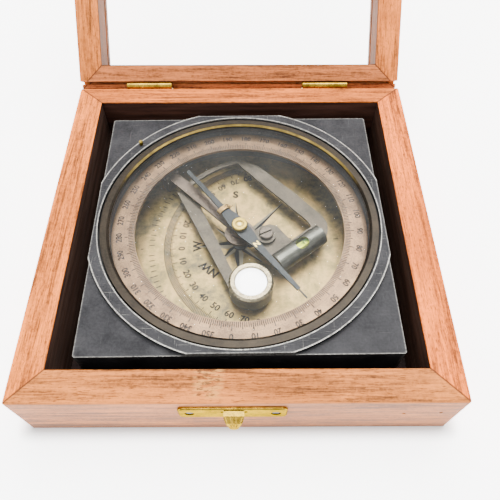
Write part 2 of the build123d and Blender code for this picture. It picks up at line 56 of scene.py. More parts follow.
# ------------------------------------------------------------------ node helpers
class Mat:
    """A procedural material; its coordinates are the row frame's, in millimetres from origin."""

    def __init__(self, name, turn=None, origin=(0, 0, 0)):
        self.mat = bpy.data.materials.new(name)
        self.mat.use_nodes = True
        self.nt = self.mat.node_tree
        self.nt.nodes.clear()
        self.out = self.nt.nodes.new("ShaderNodeOutputMaterial")
        self.bsdf = self.nt.nodes.new("ShaderNodeBsdfPrincipled")
        self.nt.links.new(self.bsdf.outputs[0], self.out.inputs[0])
        tex = self.nt.nodes.new("ShaderNodeTexCoord")
        mapping = self.nt.nodes.new("ShaderNodeMapping")
        mapping.inputs["Scale"].default_value = (1000, 1000, 1000)
        mapping.inputs["Location"].default_value = tuple(-1000 * v for v in origin)
        self.nt.links.new(tex.outputs["Object"], mapping.inputs["Vector"])
        self.co = mapping.outputs[0]
        if turn:
            second = self.nt.nodes.new("ShaderNodeMapping")
            second.inputs["Rotation"].default_value = turn
            self.nt.links.new(self.co, second.inputs["Vector"])
            self.co = second.outputs[0]

    def set(self, **values):
        names = {"rough": "Roughness", "metal": "Metallic", "alpha": "Alpha", "coat": "Coat Weight",
                 "coat_rough": "Coat Roughness", "spec": "Specular IOR Level", "color": "Base Color",
                 "emit": "Emission Strength", "emit_color": "Emission Color"}
        for key, value in values.items():
            socket = self.bsdf.inputs[names[key]]
            if hasattr(value, "is_linked"):
                self.nt.links.new(value, socket)
            elif key in ("color", "emit_color"):
                socket.default_value = (*value, 1)
            else:
                socket.default_value = value
        return self

    def scaled(self, x, y, z, turn=(0, 0, 0), co=None):
        m = self.nt.nodes.new("ShaderNodeMapping")
        m.inputs["Scale"].default_value = (x, y, z)
        m.inputs["Rotation"].default_value = turn
        self.nt.links.new(co or self.co, m.inputs["Vector"])
        return m.outputs[0]

    def noise(self, scale, detail=4, rough=0.55, co=None, distort=0.0):
        n = self.nt.nodes.new("ShaderNodeTexNoise")
        n.inputs["Scale"].default_value = scale
        n.inputs["Detail"].default_value = detail
        n.inputs["Roughness"].default_value = rough
        n.inputs["Distortion"].default_value = distort
        self.nt.links.new(co or self.co, n.inputs["Vector"])
        return n.outputs["Fac"]

    def math(self, op, a, b=0.0):
        n = self.nt.nodes.new("ShaderNodeMath")
        n.operation = op
        for socket, value in zip(n.inputs, (a, b)):
            if hasattr(value, "is_linked"):
                self.nt.links.new(value, socket)
            else:
                socket.default_value = value
        return n.outputs[0]

    def step(self, value, low, high):
        n = self.nt.nodes.new("ShaderNodeMapRange")
        n.interpolation_type = "SMOOTHSTEP"
        n.inputs["From Min"].default_value = low
        n.inputs["From Max"].default_value = high
        self.nt.links.new(value, n.inputs["Value"])
        return n.outputs[0]

    def spread(self, value, low, high, to_low, to_high):
        n = self.nt.nodes.new("ShaderNodeMapRange")
        for name, v in (("From Min", low), ("From Max", high), ("To Min", to_low), ("To Max", to_high)):
            n.inputs[name].default_value = v
        self.nt.links.new(value, n.inputs["Value"])
        return n.outputs[0]

    def mix(self, fac, a, b):
        n = self.nt.nodes.new("ShaderNodeMix")
        n.data_type = "RGBA"
        n.clamp_factor = True
        for index, value in ((0, fac), (6, a), (7, b)):
            socket = n.inputs[index]
            if hasattr(value, "is_linked"):
                self.nt.links.new(value, socket)
            elif index == 0:
                socket.default_value = value
            else:
                socket.default_value = (*value, 1)
        return n.outputs[2]

    def ramp(self, fac, stops):
        n = self.nt.nodes.new("ShaderNodeValToRGB")
        e = n.color_ramp.elements
        while len(e) < len(stops):
            e.new(0.5)
        for item, (pos, colour) in zip(e, stops):
            item.position = pos
            item.color = (*colour, 1)
        self.nt.links.new(fac, n.inputs[0])
        return n.outputs[0]

    def axis(self, name, co=None):
        n = self.nt.nodes.new("ShaderNodeSeparateXYZ")
        self.nt.links.new(co or self.co, n.inputs[0])
        return n.outputs[name]

    def radius(self, co=None):
        x, y = self.axis("X", co), self.axis("Y", co)
        return self.math("SQRT", self.math("ADD", self.math("MULTIPLY", x, x), self.math("MULTIPLY", y, y)))

    def off_line(self, p, q, co=None):
        """Distance on the plan, in millimetres, from the line through p and q."""
        length = sqrt((q[0] - p[0]) ** 2 + (q[1] - p[1]) ** 2)
        nx, ny = (q[1] - p[1]) / length, (p[0] - q[0]) / length
        x = self.math("MULTIPLY", self.axis("X", co), nx)
        y = self.math("MULTIPLY", self.axis("Y", co), ny)
        return self.math("ABSOLUTE", self.math("ADD", self.math("ADD", x, y), -(p[0] * nx + p[1] * ny)))

    def bump(self, height, strength=0.3, distance=0.1, under=None):
        n = self.nt.nodes.new("ShaderNodeBump")
        n.inputs["Strength"].default_value = strength
        n.inputs["Distance"].default_value = distance * MM
        self.nt.links.new(height, n.inputs["Height"])
        if under is not None:
            self.nt.links.new(under, n.inputs["Normal"])
        self.nt.links.new(n.outputs[0], self.bsdf.inputs["Normal"])
        return n.outputs[0]


def paint(material, *names):
    for name in names:
        mesh = NODES[name].data
        mesh.materials.clear()
        mesh.materials.append(material.mat)


# ------------------------------------------------------------------ wood
def wood(name, along, tone, pores=0.5, seed=0.0, turn=None, rough=(0.55, 0.75)):
    """Oiled close-grained wood of a middle tone; along is the grain's axis after the turn."""
    light, mid, dark = (tuple(c * k for c in tone) for k in (1.45, 0.95, 0.28))
    m = Mat(name, turn, origin=(seed * MM, seed * 1.7 * MM, -seed * MM))
    long_way = {"X": (0.018, 0.30, 0.30), "Y": (0.30, 0.018, 0.30)}[along]
    fine_way = {"X": (0.10, 2.0, 2.0), "Y": (2.0, 0.10, 2.0)}[along]
    pore_way = {"X": (0.42, 3.4, 3.4), "Y": (3.4, 0.42, 3.4)}[along]
    broad = m.noise(1.0, 3, 0.5, m.scaled(*long_way), 1.4)
    fine = m.noise(1.0, 5, 0.62, m.scaled(*fine_way), 0.35)
    pore = m.noise(1.0, 2, 0.5, m.scaled(*pore_way))
    mottle = m.noise(0.75, 5, 0.72, distort=0.6)
    blotch = m.noise(0.035, 3, 0.5)
    grain = m.math("ADD", m.math("MULTIPLY", broad, 0.40), m.math("MULTIPLY", fine, 0.38))
    grain = m.math("ADD", grain, m.math("MULTIPLY", mottle, 0.22))
    colour = m.ramp(grain, [(0.41, dark), (0.49, mid), (0.58, light)])
    streak = m.step(m.noise(1.0, 3, 0.6, m.scaled(*(c * 0.7 for c in fine_way)), 0.8), 0.57, 0.68)
    colour = m.mix(m.math("MULTIPLY", streak, 0.42), colour, tuple(c * 0.32 for c in mid))
    stained = m.math("MULTIPLY", m.step(blotch, 0.50, 0.66), 0.30)
    colour = m.mix(stained, colour, tuple(c * 0.50 for c in mid))
    pits = m.step(pore, 0.59, 0.66)
    colour = m.mix(m.math("MULTIPLY", pits, pores), colour, tuple(c * 0.30 for c in dark))
    m.set(color=colour, rough=m.spread(fine, 0.3, 0.7, *rough), spec=0.12)
    under = m.bump(fine, 0.22, 0.10)
    m.bump(m.math("SUBTRACT", 1.0, pits), 0.35, 0.12, under)
    m.last = colour
    return m


def plan(m, turn=None, shift=(0, 0, 0)):
    """Coordinates in millimetres of the piece as it lies when the case is shut."""
    tex = m.nt.nodes.new("ShaderNodeTexCoord")
    mapping = m.nt.nodes.new("ShaderNodeMapping")
    mapping.inputs["Scale"].default_value = (1000, 1000, 1000)
    m.nt.links.new(tex.outputs["Object"], mapping.inputs["Vector"])
    if not turn:
        return mapping.outputs[0]
    second = m.nt.nodes.new("ShaderNodeMapping")
    second.inputs["Rotation"].default_value = turn
    second.inputs["Location"].default_value = shift
    m.nt.links.new(mapping.outputs[0], second.inputs["Vector"])
    return second.outputs[0]


def mitres(m, place, corners, colour):
    """Dark glue lines at a piece's two mitred ends; corners is ((outer, inner), (outer, inner))."""
    near = None
    for outer, inner in corners:
        d = m.step(m.off_line(outer, inner, place), 0.42, 0.10)
        near = d if near is None else m.math("MAXIMUM", near, d)
    return m.mix(m.math("MULTIPLY", near, 0.80), colour, (0.050, 0.014, 0.007))


# corners of the mitres on the plan, in millimetres; f, b, l, r: front, back, left, right
CASE_OUT = {"fl": (-68.5, -68.2), "fr": (68.5, -68.2), "bl": (-68.5, 68.2), "br": (68.5, 68.2)}
CASE_IN = {"fl": (-58.3, -57.85), "fr": (58.3, -57.85), "bl": (-58.3, 59.3), "br": (58.3, 59.3)}
LID_OUT = {"fl": (-68.9, -68.2), "fr": (68.1, -68.2), "bl": (-68.9, 70.8), "br": (68.1, 70.8)}
LID_IN = {"fl": (-59.1, -58.3), "fr": (58.1, -58.3), "bl": (-59.1, 61.0), "br": (58.1, 61.0)}


def case_wood(name, along, tone, seed, inner, ends, inside_shade_colour=(0.012, 0.0050, 0.0040)):
    """Case wall: warm top, browner outside, painted shade darkening its foot and its inside, and on the
    front an outer face painted greyer as the table's white reflection. inner is (axis, sign, where).
    """
    m = wood(name, along, tone, 0.62, seed)
    place = plan(m)
    axis_name, sign, where = inner
    z = m.axis("Z", place)
    wobble = m.math("MULTIPLY", m.math("SUBTRACT", m.noise(0.7, 3, 0.5, place), 0.5), 0.5)
    depth = m.math("MULTIPLY", m.math("SUBTRACT", m.axis(axis_name, place), where), sign)
    # painted shade: below the rim the inner face is turned near-black, the shade inside the box
    inside = m.step(m.math("ADD", depth, wobble), -0.60, -0.30)
    below = m.step(m.math("ADD", z, wobble), 26.05, 25.6)
    inside_shade = m.math("MULTIPLY", inside, below)
    colour = mitres(m, place, [(CASE_OUT[e], CASE_IN[e]) for e in ends], m.last)
    # the painted shade inside varies in streaks up the wall
    sheen = m.noise(1.0, 4, 0.6, m.scaled(0.03, 0.03, 0.5, co=place))
    deep = m.ramp(sheen, [(0.35, tuple(c * 0.6 for c in inside_shade_colour)),
                          (0.65, tuple(c * 1.9 for c in inside_shade_colour))])
    # painted shade: every wall darkens towards its foot, where it meets the table and the box's floor
    colour = m.mix(m.math("MULTIPLY", m.step(z, 7.0, 0.0), 0.50), colour, (0.12, 0.055, 0.035))
    if axis_name == "Y" and sign > 0:
        # painted reflection: the outer front face is mixed greyer-pink, standing in for the white table's
        # reflection
        face = m.step(m.axis("Y", place), -68.02, -68.12)
        colour = m.mix(m.math("MULTIPLY", face, 0.35), colour, (0.205, 0.125, 0.092))
        lines = m.step(m.noise(1.0, 4, 0.65, m.scaled(0.05, 1.0, 0.7, co=place)), 0.46, 0.60)
        deepen = m.math("MULTIPLY", m.math("MULTIPLY", face, lines), 0.45)
        colour = m.mix(deepen, colour, (0.105, 0.052, 0.036))
        x = m.axis("X", place)
        patch = m.math("MULTIPLY", m.step(m.math("ABSOLUTE", m.math("ADD", x, 8.5)), 5.5, 3.0),
                       m.math("MULTIPLY", m.step(m.axis("Y", place), -67.5, -66.0), m.step(z, 26.0, 26.15)))
        torn = m.noise(1.0, 4, 0.7, m.scaled(0.30, 1.1, 1.0, co=place))
        rough_patch = m.step(m.math("MULTIPLY", torn, patch), 0.50, 0.58)
        flecks = m.noise(1.0, 3, 0.6, m.scaled(0.22, 1.3, 1.0, co=place))
        bare = m.math("MULTIPLY", patch, m.step(flecks, 0.46, 0.56))
        colour = m.mix(m.math("MULTIPLY", bare, 0.75), colour, (0.62, 0.26, 0.06))
        colour = m.mix(m.math("MULTIPLY", rough_patch, 0.75), colour, (0.060, 0.022, 0.011))
    edge = m.math("MULTIPLY", m.step(m.math("ADD", z, m.math("MULTIPLY", wobble, 2.0)), 25.2, 26.1),
                  m.step(z, 26.2, 26.0))
    colour = m.mix(m.math("MULTIPLY", edge, 0.35), colour, tuple(c * 1.4 for c in tone))
    # the painted shade inside the box goes over everything else
    colour = m.mix(m.math("MULTIPLY", inside_shade, 0.98), colour, deep)
    m.set(color=colour)
    return m


def lid_wood(name, along, tone, seed, ends, inner):
    """Lid rail; its face round the pane, inner (axis, sign, where), is darker."""
    m = wood(name, along, tone, 0.58, seed, (LID_ANGLE, 0, 0))
    shift = HINGE - Matrix.Rotation(LID_ANGLE, 3, "X") @ HINGE
    place = plan(m, (LID_ANGLE, 0, 0), tuple(shift))
    colour = mitres(m, place, [(LID_OUT[e], LID_IN[e]) for e in ends], m.last)
    axis_name, sign, where = inner
    depth = m.math("MULTIPLY", m.math("SUBTRACT", m.axis(axis_name, place), where), sign)
    colour = m.mix(m.math("MULTIPLY", m.step(depth, -0.45, -0.20), 0.80), colour, (0.060, 0.026, 0.011))
    m.set(color=colour)
    return m


paint(case_wood("wood_case_front", "X", (0.44, 0.136, 0.026), 3.0, ("Y", 1, -57.85), ("fl", "fr")),
      "case_front")
paint(case_wood("wood_case_back", "X", (0.52, 0.128, 0.018), 41.0, ("Y", -1, 59.3), ("bl", "br"),
                (0.026, 0.0115, 0.0085)), "case_back")
paint(case_wood("wood_case_left", "Y", (0.64, 0.160, 0.022), 77.0, ("X", 1, -58.3), ("fl", "bl"),
                (0.026, 0.017, 0.014)), "case_left")
paint(case_wood("wood_case_right", "Y", (0.72, 0.158, 0.020), 15.0, ("X", -1, 58.3), ("fr", "br"),
                (0.020, 0.012, 0.009)), "case_right")
# painted shade: the box's floor is wood toned near-black, as dark as the shade inside the box
paint(wood("wood_floor", "X", (0.014, 0.007, 0.006), 0.4, 9.0, rough=(0.6, 0.8)), "case_floor")
paint(lid_wood("wood_lid_front", "X", (0.42, 0.122, 0.026), 21.0, ("fl", "fr"), ("Y", 1, -58.3)),
      "lid_front")
paint(lid_wood("wood_lid_back", "X", (0.36, 0.108, 0.030), 55.0, ("bl", "br"), ("Y", -1, 61.0)),
      "lid_back")
paint(lid_wood("wood_lid_left", "Y", (0.42, 0.118, 0.020), 33.0, ("fl", "bl"), ("X", 1, -59.1)),
      "lid_left")
paint(lid_wood("wood_lid_right", "Y", (0.52, 0.140, 0.024), 63.0, ("fr", "br"), ("X", -1, 58.1)),
      "lid_right")


# ------------------------------------------------------------------ metals, glass
def metal(name, light, dark, rough, grain=0.6, worn=0.5, bump=0.15, metallic=1.0, spots=None, tint=None):
    """Worn plated or bare metal with patches of tarnish and fine scratches."""
    m = Mat(name, origin=CENTRE)
    if tint:
        m.bsdf.inputs["Specular Tint"].default_value = (*tint, 1)
    patch = m.noise(0.16, 5, 0.6)
    fine = m.noise(grain, 6, 0.65)
    scratch = m.noise(1.0, 3, 0.6, m.scaled(0.15, 3.4, 1.0, (0, 0, 0.6)))
    tone = m.math("ADD", m.math("MULTIPLY", patch, worn), m.math("MULTIPLY", fine, 1 - worn))
    colour = m.ramp(tone, [(0.36, dark), (0.62, light)])
    bare = m.math("MULTIPLY", m.step(scratch, 0.62, 0.72), 0.35)
    colour = m.mix(bare, colour, tuple(min(1, c * 1.5) for c in light))
    if spots:
        colour = m.mix(m.math("MULTIPLY", m.step(m.noise(1.3, 2, 0.5), 0.66, 0.72), 0.7), colour, spots)
    m.set(color=colour, metal=metallic, rough=m.spread(fine, 0.3, 0.7, rough * 0.8, min(1.0, rough * 1.3)))
    m.bump(m.math("ADD", fine, m.math("MULTIPLY", scratch, 0.6)), bump, 0.05)
    m.last = colour
    return m


def clear_glass(name, colour, alpha, rough=0.02, dust=0.0):
    m = Mat(name)
    m.set(color=colour, rough=rough, spec=0.03, alpha=alpha)
    if dust:
        specks = m.step(m.noise(1.5, 4, 0.7), 0.70, 0.76)
        film = m.noise(0.05, 3, 0.5)
        m.set(alpha=m.math("ADD", m.spread(film, 0.3, 0.7, alpha * 0.6, alpha * 1.4),
                           m.math("MULTIPLY", specks, dust)))
    return m


def body_metal():
    """Blackened casting, brushed by handling, bright where its edges and collar rub."""
    m = Mat("body_black", origin=CENTRE)
    fine = m.noise(1.1, 6, 0.7)
    patch = m.noise(0.09, 4, 0.55)
    hair = m.noise(1.0, 2, 0.6, m.scaled(0.12, 5.0, 1.0, (0, 0, 0.35)))
    hair2 = m.noise(1.0, 2, 0.6, m.scaled(5.0, 0.10, 1.0, (0, 0, 0.5)))
    colour = m.ramp(m.math("ADD", m.math("MULTIPLY", patch, 0.5), m.math("MULTIPLY", fine, 0.5)),
                    [(0.38, (0.007, 0.007, 0.009)), (0.62, (0.032, 0.032, 0.035))])
    lines = m.math("MAXIMUM", m.step(hair, 0.64, 0.72), m.step(hair2, 0.66, 0.74))
    colour = m.mix(m.math("MULTIPLY", lines, 0.22), colour, (0.20, 0.20, 0.20))
    r = m.radius()
    z = m.axis("Z")
    grit = m.noise(1.7, 5, 0.75)
    rim = m.math("MULTIPLY", m.step(r, 54.75, 55.15), m.step(z, 23.5, 23.9))
    bore = m.math("MULTIPLY", m.step(r, 51.85, 51.45), m.step(z, 23.3, 23.8))
    collar = m.math("MULTIPLY", m.math("MULTIPLY", m.step(z, 23.2, 23.9), lines), 0.45)
    spin = m.scaled(1, 1, 1, (0, 0, radians(-0.5)))
    x, y = m.math("ABSOLUTE", m.axis("X", spin)), m.math("ABSOLUTE", m.axis("Y", spin))
    side = m.step(m.math("MAXIMUM", x, y), 52.15, 52.6)
    edge = m.math("MULTIPLY", m.math("MULTIPLY", side, m.step(z, 21.5, 21.95)), 0.45)
    corner = m.math("MULTIPLY", m.step(m.math("ADD", x, y), 103.5, 105.0), 0.4)
    wear = m.math("MAXIMUM", m.math("MAXIMUM", rim, bore),
                  m.math("MAXIMUM", collar, m.math("MAXIMUM", edge, corner)))
    wear = m.math("MULTIPLY", wear, m.step(grit, 0.30, 0.62))
    colour = m.mix(wear, colour, (0.40, 0.39, 0.36))
    m.set(color=colour, metal=m.spread(wear, 0, 1, 0.15, 0.9),
          rough=m.spread(fine, 0.3, 0.7, 0.42, 0.62), spec=0.14)
    m.bump(m.math("ADD", fine, m.math("MULTIPLY", lines, 0.4)), 0.35, 0.10)
    return m


def ring_copper():
    """Pinkish plate with one turned groove and an outer lip painted darker as the shade under the bezel."""
    m = Mat("ring_copper", origin=CENTRE)
    r = m.radius()
    patch = m.noise(0.12, 5, 0.6)
    fine = m.noise(2.2, 5, 0.7)
    tone = m.math("ADD", m.math("MULTIPLY", patch, 0.55), m.math("MULTIPLY", fine, 0.45))
    colour = m.ramp(tone, [(0.40, (0.080, 0.048, 0.026)), (0.60, (0.195, 0.120, 0.062))])
    groove = m.step(m.math("ABSOLUTE", m.math("SUBTRACT", r, 42.9)), 0.16, 0.05)
    colour = m.mix(m.math("MULTIPLY", groove, 0.35), colour, (0.07, 0.045, 0.030))
    # painted shade: the outer lip, under the bezel's overhang, is darkened
    lip = m.step(r, 46.6, 47.2)
    colour = m.mix(m.math("MULTIPLY", lip, 0.45), colour, (0.09, 0.06, 0.04))
    m.set(color=colour, metal=0.80, rough=m.spread(fine, 0.3, 0.7, 0.27, 0.38))
    m.bump(m.math("SUBTRACT", fine, groove), 0.15, 0.06)
    return m


def dial_brass():
    """Dull olive plate with patches of tarnish, painted darker towards its edge as the shade under the
    ring.
    """
    m = Mat("dial_brass", origin=CENTRE)
    patch = m.noise(0.075, 5, 0.62, distort=0.8)
    small = m.noise(0.33, 5, 0.65)
    fine = m.noise(2.6, 5, 0.7)
    tone = m.math("ADD", m.math("MULTIPLY", patch, 0.6), m.math("MULTIPLY", small, 0.4))
    colour = m.ramp(tone, [(0.38, (0.082, 0.068, 0.036)), (0.48, (0.185, 0.138, 0.048)),
                           (0.60, (0.330, 0.222, 0.080))])
    specks = m.step(m.noise(1.6, 2, 0.5), 0.69, 0.74)
    colour = m.mix(m.math("MULTIPLY", specks, 0.7), colour, (0.045, 0.032, 0.018))
    r = m.radius()
    # painted shade: the plate darkens out towards its edge, where the ring overhangs it
    colour = m.mix(m.math("MULTIPLY", m.step(r, 38.0, 46.5), 0.35), colour, (0.075, 0.060, 0.036))
    m.set(color=colour, metal=0.75, rough=m.spread(fine, 0.3, 0.7, 0.34, 0.48))
    m.bump(fine, 0.15, 0.05)
    return m


def bezel_bronze():
    """Near-black bronze whose inner lip carries a painted highlight towards the back."""
    m = metal("bezel_bronze", (0.025, 0.019, 0.0125), (0.008, 0.0066, 0.005), 0.36, 1.1, 0.45, 0.15, 0.85)
    r = m.radius()
    # painted highlight: a brass-yellow glint on the inner lip, towards the back only
    lip = m.math("MULTIPLY", m.step(m.math("ABSOLUTE", m.math("SUBTRACT", r, 47.9)), 0.50, 0.20),
                 m.step(m.axis("Z"), 22.7, 22.95))
    lit = m.math("MULTIPLY", m.step(m.axis("Y"), 12.0, 34.0),
                 m.spread(m.noise(0.20, 3, 0.6), 0.3, 0.6, 0.35, 1.0))
    painted_highlight = m.math("MULTIPLY", m.math("MULTIPLY", lip, lit), 0.65)
    m.set(color=m.mix(painted_highlight, m.last, (0.42, 0.29, 0.06)))
    return m


def level_steel():
    """Smooth drawn steel with faint lines along the tube and a few dark specks."""
    m = Mat("level_steel", (0, 0, radians(-31)), CENTRE)
    soft = m.noise(0.35, 3, 0.5)
    lines = m.noise(1.0, 3, 0.6, m.scaled(0.10, 3.0, 3.0))
    tone = m.math("ADD", m.math("MULTIPLY", soft, 0.5), m.math("MULTIPLY", lines, 0.5))
    colour = m.ramp(tone, [(0.38, (0.082, 0.084, 0.070)), (0.62, (0.145, 0.147, 0.124))])
    specks = m.step(m.noise(2.2, 2, 0.5), 0.68, 0.72)
    m.set(color=m.mix(m.math("MULTIPLY", specks, 0.7), colour, (0.02, 0.018, 0.016)), metal=0.9,
          rough=m.spread(lines, 0.3, 0.7, 0.30, 0.42))
    return m


paint(body_metal(), "compass_body")
paint(bezel_bronze(), "bezel_ring")
paint(ring_copper(), "graduated_ring")
paint(dial_brass(), "dial_plate")
brass = metal("latch_brass", (0.40, 0.255, 0.026), (0.075, 0.044, 0.005), 0.22, 0.7, 0.6, 0.12,
              spots=(0.10, 0.05, 0.01), tint=(0.74, 0.62, 0.24))
paint(brass, "latch_plate", "hinge_case_leaf_left", "hinge_case_leaf_right", "hinge_lid_leaf_left",
      "hinge_lid_leaf_right", "hinge_pins", "hasp_plate", "hasp_pin", "hasp_loop")
paint(metal("nail_steel", (0.13, 0.12, 0.10), (0.035, 0.032, 0.028), 0.45, 1.5, 0.4),
      "latch_nails", "hasp_nails", "hinge_nails_case", "hinge_nails_lid")
paint(metal("brad_dark", (0.10, 0.085, 0.075), (0.035, 0.03, 0.027), 0.6, 1.5, 0.4), "case_brads")
bright = ((0.34, 0.245, 0.045), (0.15, 0.105, 0.018), 0.30, 1.6, 0.5, 0.10)
paint(metal("bright_brass", *bright), "lift_pin", "clinometer_bush")
cap = metal("cap_brass", *bright)
cap_r = cap.radius()
cap_ring = cap.step(cap.math("ABSOLUTE", cap.math("SUBTRACT", cap_r, 1.45)), 0.28, 0.10)
cap_tone = cap.mix(cap.math("MULTIPLY", cap_ring, 0.75), cap.last, (0.050, 0.030, 0.008))
cap.set(color=cap.mix(cap.step(cap_r, 0.75, 0.55), cap_tone, (0.42, 0.36, 0.20)))
paint(cap, "needle_cap")
paint(metal("blued_steel", (0.015, 0.019, 0.021), (0.005, 0.007, 0.008), 0.36, 1.6, 0.4, 0.08, 0.6),
      "needle", "needle_pivot")
paint(metal("lifter_metal", (0.100, 0.076, 0.056), (0.034, 0.026, 0.020), 0.38, 0.9, 0.5, 0.14, 0.8),
      "lifter_lever", "lifter_bracket", "lifter_ring")
paint(metal("frame_metal", (0.088, 0.074, 0.052), (0.030, 0.026, 0.019), 0.42, 0.9, 0.5, 0.14, 0.75),
      "clinometer_frame", "pivot_boss")
paint(metal("screw_metal", (0.10, 0.082, 0.062), (0.030, 0.025, 0.021), 0.34, 1.6, 0.5, 0.12, 0.9),
      "pivot_screw", "setting_lever")
paint(metal("pin_steel", (0.50, 0.49, 0.47), (0.25, 0.24, 0.23), 0.3, 1.6, 0.5), "lifter_fulcrum_pin",
      "clinometer_shaft")
paint(level_steel(), "level_tube", "level_end_plugs", "round_level_cup")
paint(metal("rim_plate", (0.40, 0.34, 0.20), (0.085, 0.068, 0.040), 0.28, 0.8, 0.35, 0.25, 0.85,
            spots=(0.16, 0.13, 0.09)), "round_level_rim")
paint(metal("coil_wire", (0.62, 0.42, 0.16), (0.26, 0.16, 0.05), 0.3, 1.5, 0.5),
      "needle_counterweight", "lift_spring")
paint(clear_glass("cover_glass", (0.86, 0.88, 0.85), 0.011, 0.03, 0.03), "cover_glass")
paint(clear_glass("lid_pane", (0.93, 0.93, 0.90), 0.012, 0.04, 0.03), "lid_glass")
paint(clear_glass("vial_glass", (0.90, 0.98, 0.85), 0.03, 0.03, 0.02), "level_vial")
# the bull's-eye's glass and fluid glow white: a painted glow for their bright reflection
level_glow = Mat("round_level_glass")
level_glow.set(color=level_glow.mix(level_glow.noise(0.3, 2), (0.95, 0.96, 0.97), (1.0, 1.0, 1.0)), rough=0.06, coat=1.0,
          coat_rough=0.02, emit=4.0, emit_color=(1.0, 1.0, 1.0))
paint(level_glow, "round_level_glass", "round_level_fluid")
# the level's fluid: dark green on one side and, past y = -5.2 mm, a yellow band that glows, a painted glow
fluid_glow = Mat("level_fluid")
glowing_band = fluid_glow.step(fluid_glow.axis("Y"), -3.6, -5.2)
fluid_glow.set(color=fluid_glow.mix(glowing_band, (0.04, 0.16, 0.05), (0.80, 0.85, 0.01)), rough=0.10, spec=0.2,
          emit=fluid_glow.spread(glowing_band, 0.0, 1.0, 0.06, 0.9), emit_color=(0.62, 0.72, 0.01))
paint(fluid_glow, "level_fluid")
rubber = Mat("gasket")
rubber.set(color=rubber.mix(rubber.noise(1.2), (0.03, 0.03, 0.03), (0.06, 0.055, 0.05)), rough=0.8)
paint(rubber, "glass_gasket")
ruby = Mat("jewel")
ruby.set(color=ruby.mix(ruby.noise(2.0), (0.40, 0.03, 0.05), (0.62, 0.06, 0.10)), rough=0.12, coat=1.0)
paint(ruby, "needle_jewel")


# ------------------------------------------------------------------ engraved marks
def ink_material(name, colour, fade):
    m = Mat(name, origin=CENTRE)
    wornness = m.noise(1.4, 5, 0.7)
    faded = tuple(c + (0.30 - c) * fade for c in colour)
    m.set(color=m.mix(m.step(wornness, 0.42, 0.62), colour, faded), metal=0.0, rough=0.8, spec=0.08)
    return m


INK = ink_material("ink_dark", (0.010, 0.009, 0.008), fade=0.08)
RING_INK = ink_material("ink_ring", (0.016, 0.011, 0.009), fade=0.10)
HATCH_INK = ink_material("ink_hatch", (0.030, 0.029, 0.028), fade=0.15)
ROSE_DARK = ink_material("ink_rose_dark", (0.008, 0.009, 0.010), fade=0.04)
ROSE_LIGHT = ink_material("ink_rose_light", (0.20, 0.18, 0.125), fade=0.05)
GOLD = metal("inlay_gold", (0.60, 0.47, 0.14), (0.34, 0.25, 0.07), 0.3, 1.6, 0.5)


class Marks:
    """Collects the filled engraving of one surface as one thin closed mesh."""

    def __init__(self, name, body, material, top, depth=0.012, slot=None):
        self.name, self.body, self.material, self.slot = name, body, material, slot
        self.top, self.depth = top, depth * MM
        self.bm = bmesh.new()

    def plate(self, points):
        """points: (x, y) in metres, counter-clockwise."""
        area = sum(p[0] * q[1] - q[0] * p[1] for p, q in zip(points, points[1:] + points[:1]))
        if area < 0:
            points = points[::-1]
        low = [self.bm.verts.new((x, y, self.top + MARK_LIFT)) for x, y in points]
        high = [self.bm.verts.new((x, y, self.top + MARK_LIFT + self.depth)) for x, y in points]
        self.bm.faces.new(high)
        self.bm.faces.new(low[::-1])
        for i in range(len(points)):
            j = (i + 1) % len(points)
            self.bm.faces.new((low[i], low[j], high[j], high[i]))

    def tick(self, centre, angle, r0, r1, width, taper=1.0):
        d = Vector((cos(angle), sin(angle)))
        n = Vector((-d.y, d.x))
        c = Vector((centre.x, centre.y))
        a, b = c + d * r0 * MM, c + d * r1 * MM
        w = width * MM / 2
        self.plate([tuple(a - n * w), tuple(b - n * w * taper), tuple(b + n * w * taper), tuple(a + n * w)])

    def slant(self, centre, a0, r0, a1, r1, width):
        p = Vector((centre.x + cos(a0) * r0 * MM, centre.y + sin(a0) * r0 * MM))
        q = Vector((centre.x + cos(a1) * r1 * MM, centre.y + sin(a1) * r1 * MM))
        n = (q - p).orthogonal().normalized() * width * MM / 2
        self.plate([tuple(p - n), tuple(q - n), tuple(q + n), tuple(p + n)])

    def text(self, string, x, y, up, height, squeeze=1.0, bold=0.0):
        """A short figure or letter centred on x, y (metres), its top towards the angle up."""
        curve = bpy.data.curves.new(self.name + "_glyph", "FONT")
        curve.body = string
        curve.size = 1.0
        curve.align_x = "CENTER"
        curve.align_y = "CENTER"
        curve.offset = bold
        curve.resolution_u = 3
        obj = bpy.data.objects.new(self.name + "_glyph", curve)
        bpy.context.scene.collection.objects.link(obj)
        bpy.context.view_layer.update()
        depsgraph = bpy.context.evaluated_depsgraph_get()
        mesh = bpy.data.meshes.new_from_object(obj.evaluated_get(depsgraph))
        ys = [v.co.y for v in mesh.vertices]
        xs = [v.co.x for v in mesh.vertices]
        k = height * MM / (max(ys) - min(ys))
        place = (Matrix.Translation((x, y, self.top + MARK_LIFT + self.depth))
                 @ Matrix.Rotation(up - pi / 2, 4, "Z") @ Matrix.Diagonal((k * squeeze, k, k, 1))
                 @ Matrix.Translation((-(max(xs) + min(xs)) / 2, -(max(ys) + min(ys)) / 2, 0)))
        mesh.transform(place)
        self.bm.from_mesh(mesh)
        bpy.data.objects.remove(obj)
        bpy.data.curves.remove(curve)
        bpy.data.meshes.remove(mesh)

    def make(self):
        mesh = bpy.data.meshes.new(self.name)
        self.bm.normal_update()
        self.bm.to_mesh(mesh)
        self.bm.free()
        obj = bpy.data.objects.new(self.name, mesh)
        bpy.context.scene.collection.objects.link(obj)
        mesh.materials.append(self.material.mat)
        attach(obj, self.body)
        return obj


def at(centre, angle, r):
    return centre.x + cos(angle) * r * MM, centre.y + sin(angle) * r * MM


